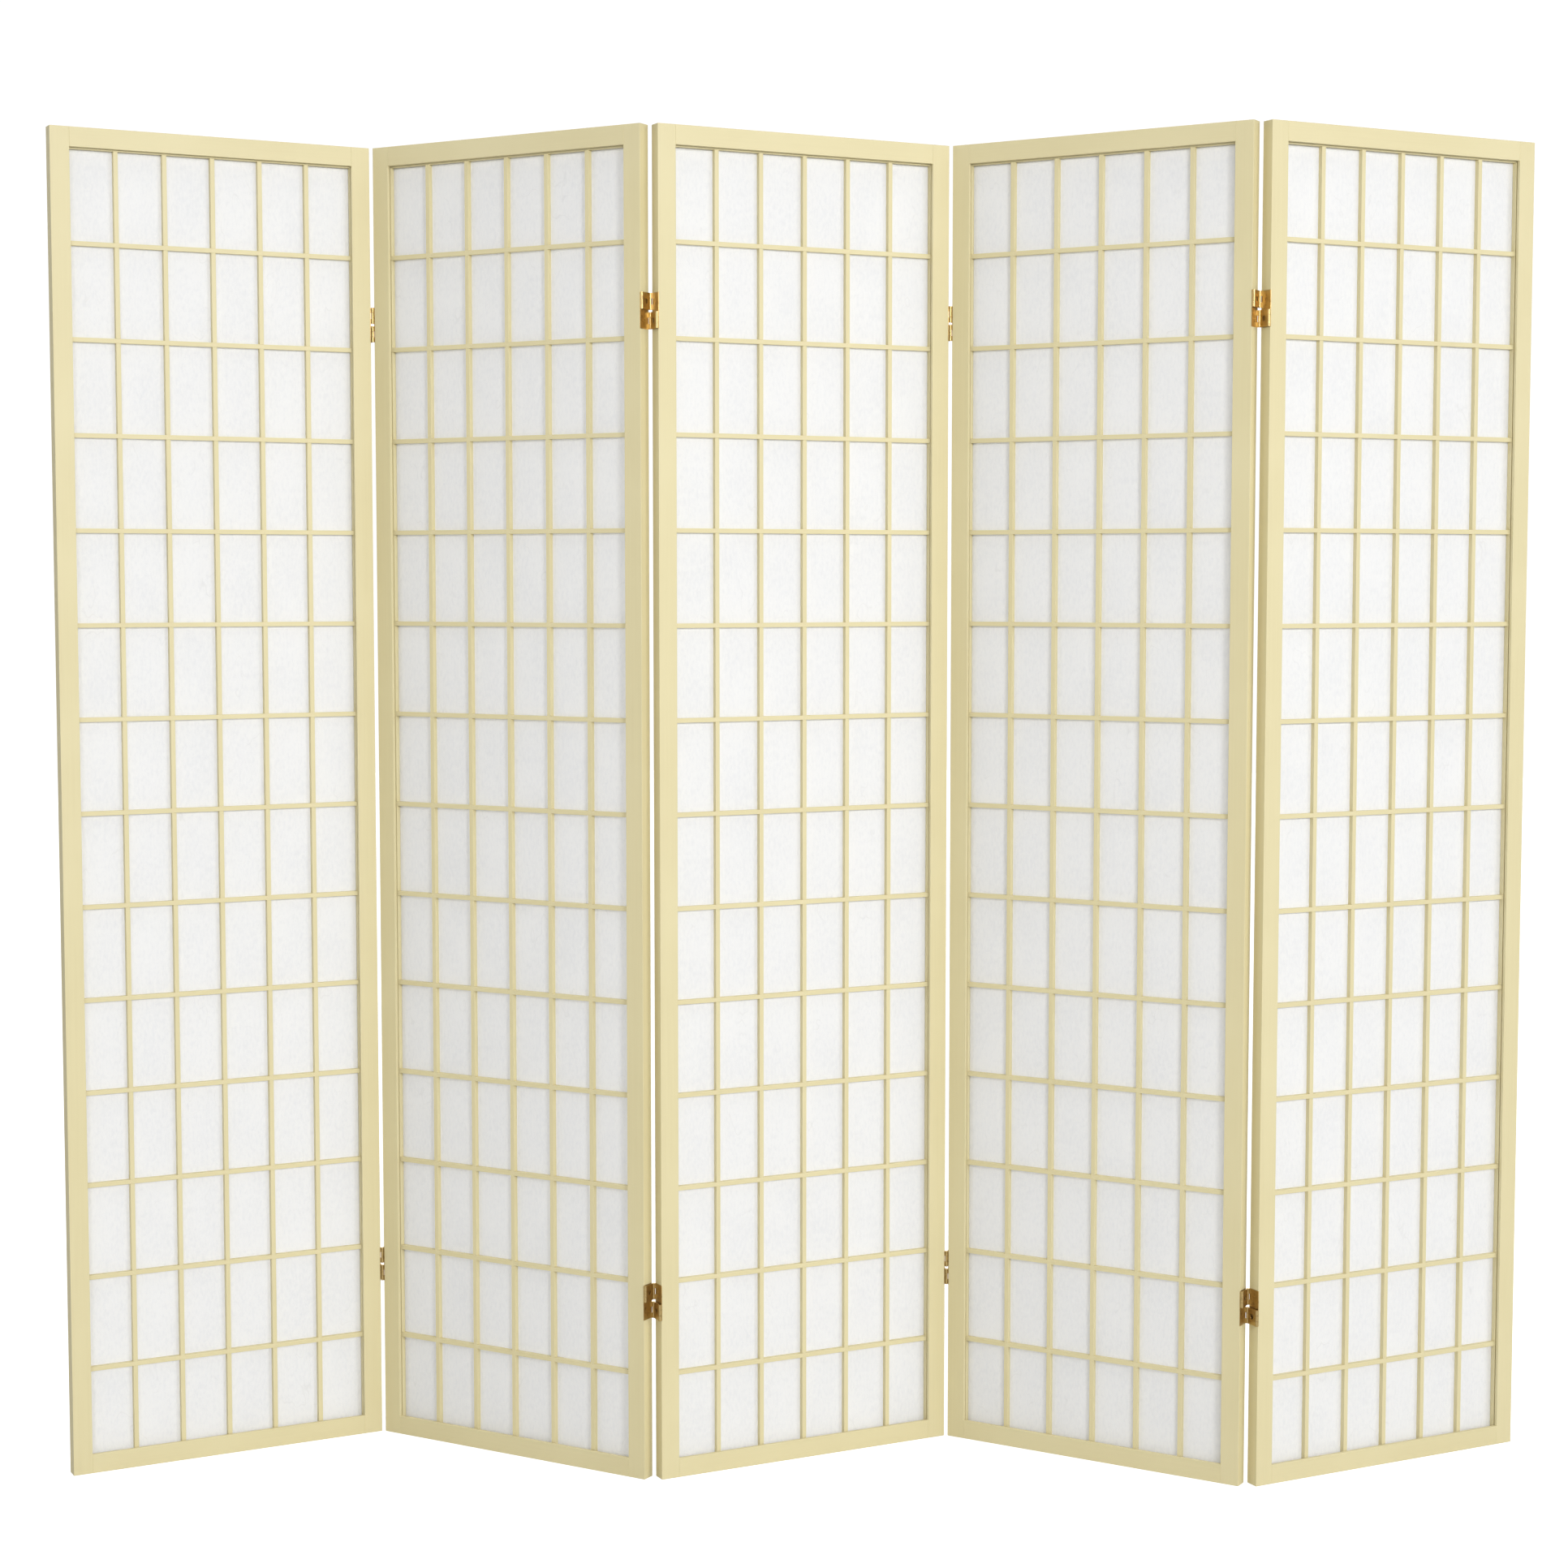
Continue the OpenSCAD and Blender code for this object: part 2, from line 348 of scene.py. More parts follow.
@dataclass(frozen=True)
class CreamPaint:
    """Satin cream paint on planed wood, through which the grain just tells."""

    base: Colour = (0.745, 0.665, 0.395, 1.0)
    deep: Colour = (0.715, 0.632, 0.366, 1.0)
    pale: Colour = (0.780, 0.703, 0.435, 1.0)
    streak_w: float = 2.6 * MM
    streak_l: float = 160 * MM
    cloud: float = 140 * MM
    stipple: float = 0.8 * MM
    streak_layers: Layers = (3.0, 0.55)
    gloss: Span = (0.40, 0.52)
    cloud_share: float = 0.6
    tone_span: Span = (0.20, 0.62)
    pale_span: Span = (0.5, 0.8)
    pale_share: float = 0.35
    worn_span: Span = (0.35, 0.65)
    worn_share: float = 0.55
    streak_bump: Span = (0.05 * MM, 0.3)
    stipple_bump: Span = (0.03 * MM, 0.25)
    refraction: float = 1.46

    def material(self) -> bpy.types.Material:
        """Makes the paint's material.

        Returns:
            The material.
        """
        s = Surface("cream_paint")
        b = s.bench
        grain = s.stretched(1 / self.streak_l, 1 / self.streak_w, 1 / self.streak_w)
        streaks = b.noise(grain, 1.0, *self.streak_layers)
        clouds = b.noise(s.grain, 1 / self.cloud)
        stipple = b.noise(s.grain, 1 / self.stipple, detail=1.0)
        tone = clouds * self.cloud_share + streaks * (1 - self.cloud_share)
        worn = b.add("ShaderNodeAttribute", {"attribute_name": ARRIS}, out="Fac")
        paint = b.colours(tone.ramped(*self.tone_span), self.deep, self.base)
        paint = b.colours(self.pale_share * clouds.ramped(*self.pale_span), paint, self.pale)
        bare = self.worn_share * worn * streaks.ramped(*self.worn_span)
        paint = b.colours(bare, paint, self.pale)
        low, high = self.gloss
        normal = s.bump(stipple, *self.stipple_bump, s.bump(streaks, *self.streak_bump))
        return s.done(
            s.shader(
                Base_Color=paint,
                Roughness=low + (high - low) * (0.5 * streaks + 0.5 * stipple),
                Normal=normal,
                IOR=self.refraction,
            )
        )


@dataclass(frozen=True)
class ShojiPaper:
    """White fibrous paper that lets some light through."""

    base: Colour = (0.972, 0.972, 0.970, 1.0)
    thin: Colour = (0.868, 0.875, 0.893, 1.0)
    fibre: Colour = (0.982, 0.981, 0.972, 1.0)
    bark: Colour = (0.60, 0.60, 0.60, 1.0)
    glow: Colour = (0.960, 0.960, 0.955, 1.0)
    flock: float = 3.8 * MM
    flock_along: float = 0.45
    flock_layers: Layers = (5.0, 0.62)
    flock_share: float = 0.75
    cloud: float = 76 * MM
    sheet_span: Span = (0.32, 0.62)
    fibre_gap: float = 14 * MM
    fibre_along: float = 0.55
    fibre_layers: Layers = (3.0, 0.6)
    breaks: float = 2.5
    broken_span: Span = (0.45, 0.6)
    fine: tuple[float, float, float] = (1.0, 0.035, 3.1)
    long: tuple[float, float, float] = (2.2, 0.016, 7.7)
    specks: tuple[float, float, float] = (5.0, 0.007, 11.3)
    fine_share: float = 0.6
    long_share: float = 0.8
    speck_share: float = 0.25
    speck_span: Span = (0.42, 0.6)
    fine_lift: float = 0.5
    long_lift: float = 0.7
    bump: Span = (0.08 * MM, 0.5)
    roughness: float = 0.85
    specular: float = 0.25
    through: float = 0.45

    def fibres(self, s: Surface, layer: tuple[float, float, float]) -> Wire:
        """Long loose fibres, as the contour lines of a noise that another noise breaks up.

        Args:
            s: The material.
            layer: Distance between fibres, in fibre gaps; how much of the contour a fibre takes, from
                0 to 1; and a shift that moves this layer away from the others.

        Returns:
            1 on a fibre, falling to 0 beside it.
        """
        gaps, width, shift = layer
        gap = gaps * self.fibre_gap
        place = s.bench.vectors("ADD", s.stretched(self.fibre_along, 1.0, 1.0), (shift, shift, shift))
        line = abs(s.bench.noise(place, 1 / gap, *self.fibre_layers) - 0.5)
        broken = s.bench.noise(place, self.breaks / gap, detail=1.0).ramped(*self.broken_span)
        return (1 - line.ramped(0.0, width)) * broken

    def material(self) -> bpy.types.Material:
        """Makes the paper's material.

        Returns:
            The material.
        """
        s = Surface("shoji_paper")
        b = s.bench
        flocks = b.noise(s.stretched(self.flock_along, 1.0, 1.0), 1 / self.flock, *self.flock_layers)
        clouds = b.noise(s.grain, 1 / self.cloud)
        fine, long = self.fibres(s, self.fine), self.fibres(s, self.long)
        specks = self.fibres(s, self.specks) * clouds.ramped(*self.speck_span)
        body = self.flock_share * flocks + (1 - self.flock_share) * clouds
        sheet = b.colours(body.ramped(*self.sheet_span), self.thin, self.base)
        sheet = b.colours(self.fine_share * fine, sheet, self.fibre)
        sheet = b.colours(self.long_share * long, sheet, self.fibre)
        sheet = b.colours(self.speck_share * specks, sheet, self.bark)
        normal = s.bump(flocks + self.fine_lift * fine + self.long_lift * long, *self.bump)
        front = s.shader(
            Base_Color=sheet,
            Roughness=self.roughness,
            Normal=normal,
            Specular_IOR_Level=self.specular,
        )
        behind = b.add("ShaderNodeBsdfTranslucent", None, {"Color": self.glow})
        return s.done(b.add("ShaderNodeMixShader", None, {0: self.through, 1: front, 2: behind}))


@dataclass(frozen=True)
class WornBrass:
    """Lacquered brass, drawn lengthwise, a little darker where it has been handled."""

    base: Colour = (0.62, 0.455, 0.20, 1.0)
    dull: Colour = (0.40, 0.275, 0.11, 1.0)
    scratch_w: float = 0.12 * MM
    scratch_l: float = 9 * MM
    stain: float = 6 * MM
    stain_layers: Layers = (4.0, 0.6)
    gloss: Span = (0.27, 0.46)
    stain_span: Span = (0.5, 0.75)
    drawn_span: Span = (0.4, 0.8)
    drawn_share: float = 0.3
    stain_gloss: float = 0.6
    bump: Span = (0.01 * MM, 0.35)

    def material(self) -> bpy.types.Material:
        """Makes the brass's material.

        Returns:
            The material.
        """
        s = Surface("worn_brass")
        b = s.bench
        fine = s.stretched(1 / self.scratch_w, 1 / self.scratch_w, 1 / self.scratch_l)
        drawn = b.noise(fine, 1.0)
        stains = b.noise(s.grain, 1 / self.stain, *self.stain_layers)
        metal = b.colours(stains.ramped(*self.stain_span), self.base, self.dull)
        metal = b.colours(self.drawn_share * drawn.ramped(*self.drawn_span), metal, self.dull)
        low, high = self.gloss
        haze = self.stain_gloss * stains + (1 - self.stain_gloss) * drawn
        return s.done(
            s.shader(
                Base_Color=metal,
                Metallic=1.0,
                Roughness=low + (high - low) * haze,
                Normal=s.bump(drawn, *self.bump),
            )
        )


@dataclass(frozen=True)
class Finishes:
    """One material for each slot."""

    wood: bpy.types.Material
    paper: bpy.types.Material
    brass: bpy.types.Material

    @classmethod
    def mixed(cls) -> "Finishes":
        """Makes the three materials."""
        return cls(CreamPaint().material(), ShojiPaper().material(), WornBrass().material())

    def of(self, slot: Slot) -> bpy.types.Material:
        """The material of a slot."""
        return {Slot.WOOD: self.wood, Slot.PAPER: self.paper, Slot.BRASS: self.brass}[slot]


# ---- Geometry Nodes recipes ----


class Recipe:
    """A Geometry Nodes tree with named inputs, which makes a plain mesh for any sizes."""

    KINDS = {int: "NodeSocketInt", float: "NodeSocketFloat", object: "NodeSocketObject",
             bpy.types.Material: "NodeSocketMaterial"}

    def __init__(self, name: str, inputs: dict[str, type]) -> None:
        """Makes the tree and its sockets.

        Args:
            name: The tree's name.
            inputs: Each input's name and what it holds.
        """
        self.tree = bpy.data.node_groups.new(name, "GeometryNodeTree")
        face = self.tree.interface
        face.new_socket("Geometry", in_out="INPUT", socket_type="NodeSocketGeometry")
        for label, kind in inputs.items():
            face.new_socket(label, in_out="INPUT", socket_type=self.KINDS[kind])
        face.new_socket("Geometry", in_out="OUTPUT", socket_type="NodeSocketGeometry")
        self.bench = Bench(self.tree)
        self.source = self.tree.nodes.new("NodeGroupInput")

    def given(self, label: str) -> Wire:
        """The wire of a named input."""
        return Wire(self.bench, self.source, label)

    def stored(self, geometry: Wire, name: str, value: object, domain: str = "POINT") -> Wire:
        """Stores a vector attribute.

        Args:
            geometry: What to store it on.
            name: The attribute's name.
            value: Its value.
            domain: What it belongs to.

        Returns:
            The geometry with the attribute.
        """
        settings = {"data_type": "FLOAT_VECTOR", "domain": domain}
        sockets = {"Geometry": geometry, "Name": name, "Value": value}
        return self.bench.add("GeometryNodeStoreNamedAttribute", settings, sockets)

    def named(self, name: str) -> Wire:
        """A vector attribute."""
        settings = {"data_type": "FLOAT_VECTOR"}
        return self.bench.add("GeometryNodeInputNamedAttribute", settings, {"Name": name})

    def closed_prism(self, face: Wire, offset: object) -> Wire:
        """A face and its extrusion, as one closed shell.

        Args:
            face: The flat face, which looks along the offset.
            offset: How far it is extruded.

        Returns:
            The shell.
        """
        b = self.bench
        walls = b.add("GeometryNodeExtrudeMesh", None,
                      {"Mesh": face, "Offset": offset, "Offset Scale": 1.0, "Individual": False})
        floor = b.add("GeometryNodeFlipFaces", None, {"Mesh": face})
        both = b.add("GeometryNodeJoinGeometry", None, {"Geometry": [walls, floor]})
        return b.add("GeometryNodeMergeByDistance", None, {"Geometry": both, "Distance": CONTACT})

    def finish(self, geometry: Wire) -> None:
        """Realizes what the tree makes, sets its material and ends the tree.

        Args:
            geometry: What the tree makes.
        """
        b = self.bench
        real = b.add("GeometryNodeRealizeInstances", None, {"Geometry": geometry})
        dressed = b.add("GeometryNodeSetMaterial", None,
                        {"Geometry": real, "Material": self.given("Material")})
        b.add("NodeGroupOutput", None, {"Geometry": dressed})

    def cook(self, values: dict[str, object], start: bpy.types.Mesh | None = None,
             ease: float = 0.0) -> bpy.types.Mesh:
        """Runs the tree on an object and returns the plain mesh.

        Args:
            values: A value for each named input.
            start: The mesh that the tree starts from.
            ease: Width to which sharp edges are eased afterwards.

        Returns:
            The mesh, in the tree's own coordinates.
        """
        mesh = start or bpy.data.meshes.new(self.tree.name)
        carrier = stood(self.tree.name, mesh)
        modifier = carrier.modifiers.new("recipe", "NODES")
        modifier.node_group = self.tree
        for item in self.tree.interface.items_tree:
            if item.in_out == "INPUT" and item.name in values:
                modifier[item.identifier] = values[item.name]
        if ease:
            bevel = carrier.modifiers.new("ease", "BEVEL")
            bevel.width, bevel.segments = ease, STROKES
            bevel.limit_method, bevel.angle_limit = "ANGLE", EASED_FROM
        graph = bpy.context.evaluated_depsgraph_get()
        made = bpy.data.meshes.new_from_object(carrier.evaluated_get(graph))
        carrier.modifiers.clear()
        bpy.data.objects.remove(carrier)
        return made


def notched_bars() -> Recipe:
    """Makes the recipe for a row of equal bars with half-lap notches.

    A bar runs along X and is notched into its Y = 0 side. The bars stand next to each other along Z.

    Returns:
        The recipe.
    """
    r = Recipe("notched_bars", {
        "Bars": int, "Bar Pitch": float, "Bar Width": float, "Bar Depth": float, "Bar Length": float,
        "Crossings": int, "Crossing Pitch": float, "Slack": float, "Seed": int,
        "Material": bpy.types.Material,
    })
    b = r.bench
    width, depth, length, slack = (r.given(n) for n in ("Bar Width", "Bar Depth", "Bar Length", "Slack"))
    # A crossing has four corners: 0 and 3 on the bar's notched side, 1 and 2 at the notch's bottom.
    # The outline's very first and last corners lie on the bar's other side, at its ends.
    corners = 4 * r.given("Crossings")
    index = b.add("GeometryNodeInputIndex") + 0.0
    cell = (index / 4).math("FLOOR")
    corner = index - 4 * cell
    far = corner.math("GREATER_THAN", 1.5)
    along = (cell * r.given("Crossing Pitch") - 0.5 * slack + far * (width + slack)).limited(0.0, length)
    lapped = corner.math("COMPARE", 1.5, 0.6)
    ends = index.math("LESS_THAN", 0.5) + index.math("GREATER_THAN", corners - 1.5)
    outline = b.add("GeometryNodeMeshLine", None, {"Count": corners})
    outline = b.add("GeometryNodeSetPosition", None, {
        "Geometry": outline, "Position": b.vector(along, lapped * 0.5 * depth + ends * depth),
    })
    outline = b.add("GeometryNodeMeshToCurve", None, {"Mesh": outline})
    outline = b.add("GeometryNodeSetSplineCyclic", None, {"Geometry": outline, "Cyclic": True})
    side = b.add("GeometryNodeFillCurve", {"mode": "NGONS"}, {"Curve": outline})
    bar = r.closed_prism(side, b.vector(z=width))
    bar = r.stored(bar, GRAIN, b.add("GeometryNodeInputPosition"))
    row = b.add("GeometryNodeMeshLine", None, {
        "Count": r.given("Bars"), "Offset": b.vector(z=r.given("Bar Pitch")),
    })
    bars = b.add("GeometryNodeInstanceOnPoints", None, {"Points": row, "Instance": bar})
    shift = b.add("FunctionNodeRandomValue", {"data_type": "FLOAT_VECTOR"},
                  {0: (0.0,) * 3, 1: (BAR_SPREAD,) * 3, "Seed": r.given("Seed")})
    bars = r.stored(bars, "shift", shift, "INSTANCE")
    bars = b.add("GeometryNodeRealizeInstances", None, {"Geometry": bars})
    bars = r.stored(bars, GRAIN, b.vectors("ADD", r.named(GRAIN), r.named("shift")))
    r.finish(b.add("GeometryNodeRemoveAttribute", None, {"Geometry": bars, "Name": "shift"}))
    return r


def cockled_sheet() -> Recipe:
    """Makes the recipe for a sheet that is held flat along the bars and cockles a little between them.

    The sheet lies in X and Y with its middle at the origin, and Z runs from its back to its front.

    Returns:
        The recipe.
    """
    r = Recipe("cockled_sheet", {
        "Width": float, "Height": float, "Thickness": float, "Columns": int, "Rows": int,
        "Bar Width": float, "Cockle": float, "Wave": float, "Seed": int, "Material": bpy.types.Material,
    })
    b = r.bench
    place = b.add("GeometryNodeInputPosition")
    split = b.add("ShaderNodeSeparateXYZ", None, {0: place})

    def free(axis: int, size: str, count: str) -> Wire:
        """How far a point is from the bars that cross one axis.

        Args:
            axis: The axis.
            size: The input that holds the sheet's length along it.
            count: The input that holds the number of spaces along it.

        Returns:
            0 on a bar, rising to 1 midway between two.
        """
        span = r.given(size) - r.given("Bar Width")
        pitch = span / r.given(count)
        phase = (split.other(axis) + 0.5 * span) / pitch
        held = (math.pi * HELD * r.given("Bar Width") / pitch).math("SINE")
        return ((abs((math.pi * phase).math("SINE")) - held) / (1 - held)).limited()

    seed = b.vector(z=r.given("Seed") + SHEET_SHIFT[2])
    ripple = b.add("ShaderNodeTexNoise", None, {
        "Vector": b.vectors("ADD", place, seed), "Scale": 1 / r.given("Wave"), "Detail": 2.0,
    })
    rise = (ripple - 0.5) * 2 * r.given("Cockle")
    rise = rise * free(0, "Width", "Columns") * free(1, "Height", "Rows")
    grid = b.add("GeometryNodeMeshGrid", None, {
        "Size X": r.given("Width"), "Size Y": r.given("Height"),
        "Vertices X": SHEET_CELLS[0] * r.given("Columns") + 1,
        "Vertices Y": SHEET_CELLS[1] * r.given("Rows") + 1,
    })
    sheet = b.add("GeometryNodeSetPosition", None, {"Geometry": grid, "Offset": b.vector(z=rise)})
    sheet = r.closed_prism(sheet, b.vector(z=r.given("Thickness")))
    shift = b.vector(*(r.given("Seed") * step for step in SHEET_SHIFT[:2]))
    swapped = b.vector(split.other(1), split.other(0), split.other(2))
    r.finish(r.stored(sheet, GRAIN, b.vectors("ADD", swapped, shift)))
    return r


def fittings_on_ends() -> Recipe:
    """Makes the recipe that puts one fitting at every point of a mesh, turned as the point's turn says.

    Returns:
        The recipe.
    """
    r = Recipe("fittings_on_ends", {
        "Fitting": object, "Spin": float, "Seed": int, "Material": bpy.types.Material,
    })
    b = r.bench
    shape = b.add("GeometryNodeObjectInfo", None, {"Object": r.given("Fitting")}, out="Geometry")
    shape = r.stored(shape, GRAIN, b.add("GeometryNodeInputPosition"))
    turn = b.add("GeometryNodeInputNamedAttribute", {"data_type": "FLOAT"}, {"Name": "turn"})
    facing = b.add("FunctionNodeAxisAngleToRotation", None, {"Axis": (0.0, 0.0, 1.0), "Angle": turn})
    spin = b.add("FunctionNodeRandomValue", {"data_type": "FLOAT"},
                 {2: 0.0, 3: r.given("Spin"), "Seed": r.given("Seed")}, out=1)
    spun = b.add("FunctionNodeAxisAngleToRotation", None, {"Axis": (1.0, 0.0, 0.0), "Angle": spin})
    both = b.add("FunctionNodeRotateRotation", {"rotation_space": "LOCAL"},
                 {"Rotation": facing, "Rotate By": spun})
    placed = b.add("GeometryNodeInstanceOnPoints", None,
                   {"Points": r.given("Geometry"), "Instance": shape, "Rotation": both})
    r.finish(placed)
    return r


@dataclass(frozen=True)
class Recipes:
    """The three recipes."""

    bars: Recipe = field(default_factory=notched_bars)
    sheet: Recipe = field(default_factory=cockled_sheet)
    fittings: Recipe = field(default_factory=fittings_on_ends)


# ---- Places ----


@dataclass(frozen=True)
class Box:
    """Lowest and highest corners in a panel's own frame."""

    low: Vector
    high: Vector

    @classmethod
    def around(cls, points: Iterable[Sequence[float]]) -> "Box":
        """The box around some points."""
        cloud = np.array([tuple(p) for p in points])
        return cls(Vector(cloud.min(0)), Vector(cloud.max(0)))

    @property
    def size(self) -> Vector:
        """The box's lengths."""
        return self.high - self.low

    @property
    def middle(self) -> Vector:
        """The box's centre."""
        return (self.high + self.low) / 2


@dataclass(frozen=True)
class PanelSpace:
    """Where one panel stands, and the places of its nodes in its own frame."""

    number: int
    matrix: Matrix

    @property
    def body(self) -> str:
        """The panel's body."""
        return f"panel_{self.number}"

    def node(self, part: str) -> str:
        """The name of one of the panel's nodes."""
        return f"{self.body}_{part}"

    @staticmethod
    def merged(node: str) -> bmesh.types.BMesh:
        """Copies a node's mesh and joins its loose triangles up.

        Args:
            node: The node's name.

        Returns:
            The copy, which the caller frees.
        """
        bm = bmesh.new()
        bm.from_mesh(frame["nodes"][node].data)
        bmesh.ops.remove_doubles(bm, verts=bm.verts, dist=NODE_CONTACT)
        return bm

    @classmethod
    def measured(cls, number: int) -> "PanelSpace":
        """Finds a panel's frame: its direction from its paper, and its corner from its left stile.

        Args:
            number: The panel's number.

        Returns:
            The panel's space.
        """
        flat = cls.merged(f"panel_{number}_paper")
        ground = np.array([v.co[:2] for v in flat.verts])
        flat.free()
        along = Vector(np.linalg.eigh(np.cov(ground.T))[1][:, -1]).to_3d().normalized()
        along *= math.copysign(1.0, along.x)
        turned = Matrix.Rotation(math.atan2(along.y, along.x), 4, "Z")
        stile = cls.merged(f"panel_{number}_left_stile")
        corner = Box.around(turned.inverted() @ v.co for v in stile.verts).low
        stile.free()
        return cls(number, turned @ Matrix.Translation(corner))

    def local(self, part: str) -> bmesh.types.BMesh:
        """Copies a node's mesh into the panel's frame.

        Args:
            part: The node's name without its panel.

        Returns:
            The merged copy, which the caller frees.
        """
        bm = self.merged(self.node(part))
        bm.transform(self.matrix.inverted())
        return bm

    def box(self, part: str) -> Box:
        """Measures a node in the panel's frame.

        Args:
            part: The node's name without its panel.

        Returns:
            Its box.
        """
        bm = self.local(part)
        found = Box.around(v.co for v in bm.verts)
        bm.free()
        return found

    def solids(self, part: str) -> list[Box]:
        """Measures each solid of a node.

        Args:
            part: The node's name without its panel.

        Returns:
            Their boxes, from the floor up.
        """
        bm = self.local(part)
        left, found = set(bm.verts), []
        while left:
            group, edge = set(), [left.pop()]
            while edge:
                vert = edge.pop()
                group.add(vert)
                near = {e.other_vert(vert) for e in vert.link_edges} & left
                left -= near
                edge.extend(near)
            found.append(Box.around(v.co for v in group))
        bm.free()
        return sorted(found, key=lambda b: tuple(round(x, 4) for x in (b.low.z, b.low.x, b.low.y)))


class Piece:
    """Puts finished meshes into the scene."""

    SQUARE = 0.98       # a face whose normal lies this much along one axis is square to it

    def __init__(self, space: PanelSpace, finishes: Finishes) -> None:
        """Takes the panel and the materials."""
        self.space = space
        self.finishes = finishes

    @staticmethod
    def mark_arrises(mesh: bpy.types.Mesh) -> None:
        """Marks the faces that lie aslant to the mesh's own axes, which are its eased edges.

        Args:
            mesh: The mesh.
        """
        normals = np.empty(len(mesh.polygons) * 3, np.float32)
        mesh.polygons.foreach_get("normal", normals)
        aslant = np.abs(normals.reshape(-1, 3)).max(1) < Piece.SQUARE
        marks = mesh.attributes.new(ARRIS, "FLOAT", "FACE")
        marks.data.foreach_set("value", aslant.astype(np.float32))

    def set_out(self, mesh: bpy.types.Mesh, part: str, slot: Slot) -> bpy.types.Object:
        """Turns a mesh in the panel's frame into a piece that stands for a node.

        Args:
            mesh: The finished mesh.
            part: The node's name without its panel.
            slot: The record's slot for its finish.

        Returns:
            The piece.
        """
        mesh.transform(self.space.matrix)
        mesh.materials.clear()
        mesh.materials.append(self.finishes.of(slot))
        mesh.name = f"{self.space.body}.{part}"
        piece = stood(mesh.name, mesh)
        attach(piece, self.space.body)
        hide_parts(self.space.node(part))
        LOG.info("%s: %d faces", piece.name, len(mesh.polygons))
        return piece


# ---- Sub-assemblies ----


@dataclass(frozen=True)
class JoinedFrame:
    """Stiles, rails and beads: squared members whose edges are eased by a few strokes of the plane."""

    ease: float = 0.35 * MM
    bead_ease: float = 0.6 * MM
    shortest: float = 5 * MM
    sharp: float = math.radians(30)
    flat: float = 0.01
    shift: tuple[float, float, float] = (0.73, 1.31, 0.57)
    members: tuple[tuple[str, Run], ...] = (
        ("left_stile", Run.UPRIGHT),
        ("right_stile", Run.UPRIGHT),
        ("top_rail", Run.LEVEL),
        ("bottom_rail", Run.LEVEL),
        ("back_beads", Run.UPRIGHT),
    )

    def eased(self, space: PanelSpace, part: str, run: Run) -> bpy.types.Mesh:
        """A member with its long outer edges eased and its grain laid.

        Args:
            space: The panel.
            part: The node's name without its panel.
            run: Which way its grain runs.

        Returns:
            The mesh, in the panel's frame.
        """
        bm = space.local(part)
        bmesh.ops.dissolve_limit(bm, angle_limit=self.flat, verts=bm.verts, edges=bm.edges)
        edges = [
            e for e in bm.edges
            if e.is_convex and e.calc_face_angle(0.0) > self.sharp and e.calc_length() > self.shortest
        ]
        width = self.bead_ease if part == "back_beads" else self.ease
        bmesh.ops.bevel(bm, geom=edges, offset=width, segments=STROKES, profile=0.5, affect="EDGES",
                        clamp_overlap=True)
        grain = bm.verts.layers.float_vector.new(GRAIN)
        steps = (space.number, len(part), space.number)
        shift = Vector([size * count for size, count in zip(self.shift, steps)])
        for v in bm.verts:
            v[grain] = Vector([v.co[axis] for axis in run.value]) + shift
        mesh = bpy.data.meshes.new(part)
        bm.to_mesh(mesh)
        bm.free()
        Piece.mark_arrises(mesh)
        return mesh

    def dress(self, piece: Piece) -> None:
        """Makes every member of a panel's frame."""
        for part, run in self.members:
            piece.set_out(self.eased(piece.space, part, run), part, Slot.WOOD)


@dataclass(frozen=True)
class Lattice:
    """Two rows of thin bars, half-lapped at every crossing."""

    bar_w: float = 5.9 * MM
    slack: float = 0.1 * MM
    ease: float = 0.25 * MM
    columns: int = 6
    rows: int = 14
    cross_seed: int = 10

    def bars(self, recipes: Recipes, piece: Piece, count: int, spread: float, crossings: int,
             length: float, depth: float, seed: int) -> bpy.types.Mesh:
        """One row of bars, in the recipe's own coordinates.

        Args:
            recipes: The recipes.
            piece: Gives the material.
            count: How many spaces lie between the bars.
            spread: Width of the whole row.
            crossings: How many spaces lie between the notches.
            length: Length of a bar.
            depth: Depth of a bar.
            seed: Sets the bars' patterns apart.

        Returns:
            The mesh.
        """
        mesh = recipes.bars.cook({
            "Bars": count + 1, "Bar Pitch": (spread - self.bar_w) / count, "Bar Width": self.bar_w,
            "Bar Depth": depth, "Bar Length": length, "Crossings": crossings + 1,
            "Crossing Pitch": (length - self.bar_w) / crossings, "Slack": self.slack, "Seed": seed,
            "Material": piece.finishes.wood,
        }, ease=self.ease)
        Piece.mark_arrises(mesh)
        return mesh

    def dress(self, recipes: Recipes, piece: Piece) -> None:
        """Makes a panel's upright and cross bars.

        Args:
            recipes: The recipes.
            piece: Sets the finished bars out.
        """
        box = piece.space.box("upright_bars")
        wide, deep, tall = box.size
        uprights = self.bars(recipes, piece, self.columns, wide, self.rows, tall, deep,
                             piece.space.number)
        uprights.transform(Matrix.Translation((box.high.x, box.low.y, box.low.z))
                           @ Matrix.Rotation(-math.pi / 2, 4, "Y"))
        piece.set_out(uprights, "upright_bars", Slot.WOOD)
        crosses = self.bars(recipes, piece, self.rows, tall, self.columns, wide, deep,
                            piece.space.number + self.cross_seed)
        crosses.transform(Matrix.Translation((box.low.x, box.high.y, box.high.z))
                          @ Matrix.Rotation(math.pi, 4, "X"))
        piece.set_out(crosses, "cross_bars", Slot.WOOD)


